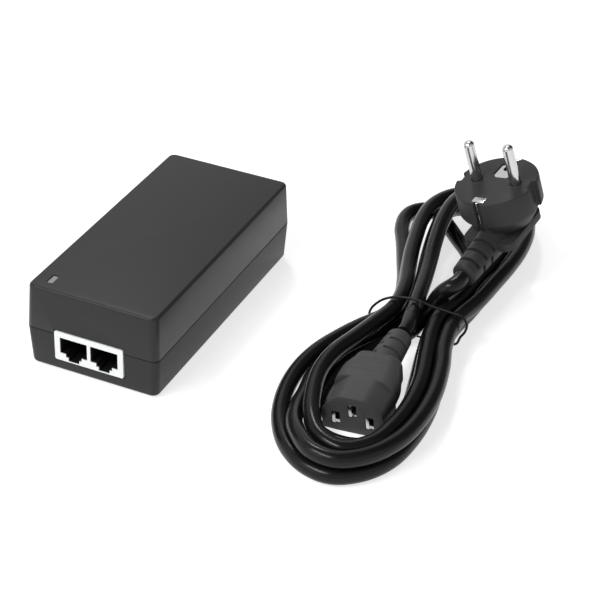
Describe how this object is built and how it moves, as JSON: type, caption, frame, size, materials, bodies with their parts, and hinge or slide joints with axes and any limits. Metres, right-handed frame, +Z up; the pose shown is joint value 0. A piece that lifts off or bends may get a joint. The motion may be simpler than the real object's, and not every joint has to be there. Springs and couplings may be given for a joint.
{
  "type": "poe injector",
  "caption": "Brick-shaped PoE injector with a dual network jack and a mains inlet, beside its tied detachable mains lead with an appliance connector and an earthed plug.",
  "frame": {"origin": "centre of the injector's footprint, on the surface that its feet stand on", "axes": "+Z up, +Y along the injector from its network jack to its mains inlet, the lead lies on +X"},
  "size_m": [0.1677, 0.2275, 0.0718],
  "materials": {
    "case_plastic": "charcoal satin moulded plastic",
    "light_grey_plastic": "light grey moulded plastic",
    "black_plastic": "black moulded plastic",
    "cord_plastic": "black satin flexible plastic",
    "nickel": "nickel-plated brass",
    "gold_contacts": "gold-plated contacts",
    "steel": "zinc-plated steel",
    "aluminium": "stamped aluminium",
    "copper": "enamelled copper wire",
    "ferrite": "dark ferrite and moulded packages",
    "rubber": "black rubber",
    "board_green": "green circuit board",
    "clear_plastic": "clear plastic light pipe",
    "tape_yellow": "yellow film tape",
    "capacitor_sleeve": "dark blue shrink sleeve",
    "ceramic": "blue coated ceramic"
  },
  "bodies": {
    "injector": {"top_cover": "case_plastic", "bottom_cover": "case_plastic", "cover_screw_1": "steel", "cover_screw_2": "steel", "cover_screw_3": "steel", "cover_screw_4": "steel", "rubber_foot_1": "rubber", "rubber_foot_2": "rubber", "rubber_foot_3": "rubber", "rubber_foot_4": "rubber", "main_board": "board_green", "jack_bezel": "light_grey_plastic", "jack_housing": "black_plastic", "jack_contacts_left": "gold_contacts", "jack_contacts_right": "gold_contacts", "inlet_housing": "black_plastic", "inlet_blade_live": "nickel", "inlet_blade_neutral": "nickel", "inlet_blade_earth": "nickel", "inlet_wire_live": "black_plastic", "inlet_wire_neutral": "black_plastic", "inlet_wire_earth": "copper", "fuse": "ceramic", "varistor": "ceramic", "x_capacitor": "tape_yellow", "choke_core": "ferrite", "choke_bobbin": "copper", "bridge_rectifier": "ferrite", "bulk_capacitor": "capacitor_sleeve", "primary_heatsink": "aluminium", "primary_transistor": "ferrite", "pulse_controller": "ferrite", "transformer_core": "ferrite", "transformer_winding": "tape_yellow", "secondary_heatsink": "aluminium", "output_rectifier": "ferrite", "output_capacitor_1": "capacitor_sleeve", "output_capacitor_2": "capacitor_sleeve", "output_inductor": "ferrite", "optocoupler": "ferrite", "safety_capacitor": "ceramic", "data_transformer": "ferrite", "power_controller": "ferrite", "status_diode": "clear_plastic", "light_pipe": "clear_plastic"},
    "mains_lead": {"mains_cord": "cord_plastic", "cable_tie": "black_plastic", "c13_connector": "cord_plastic", "c13_contact_live": "nickel", "c13_contact_neutral": "nickel", "c13_contact_earth": "nickel", "plug_body": "cord_plastic", "plug_pin_left": "nickel", "plug_pin_right": "nickel", "earth_clip_near": "nickel", "earth_clip_far": "nickel", "earth_socket": "nickel"}
  },
  "joints": [
    {"name": "lead_lift", "type": "slide", "parent": "injector", "child": "mains_lead", "axis": [0, 0, 1], "range_m": [0, 0.08]}
  ]
}
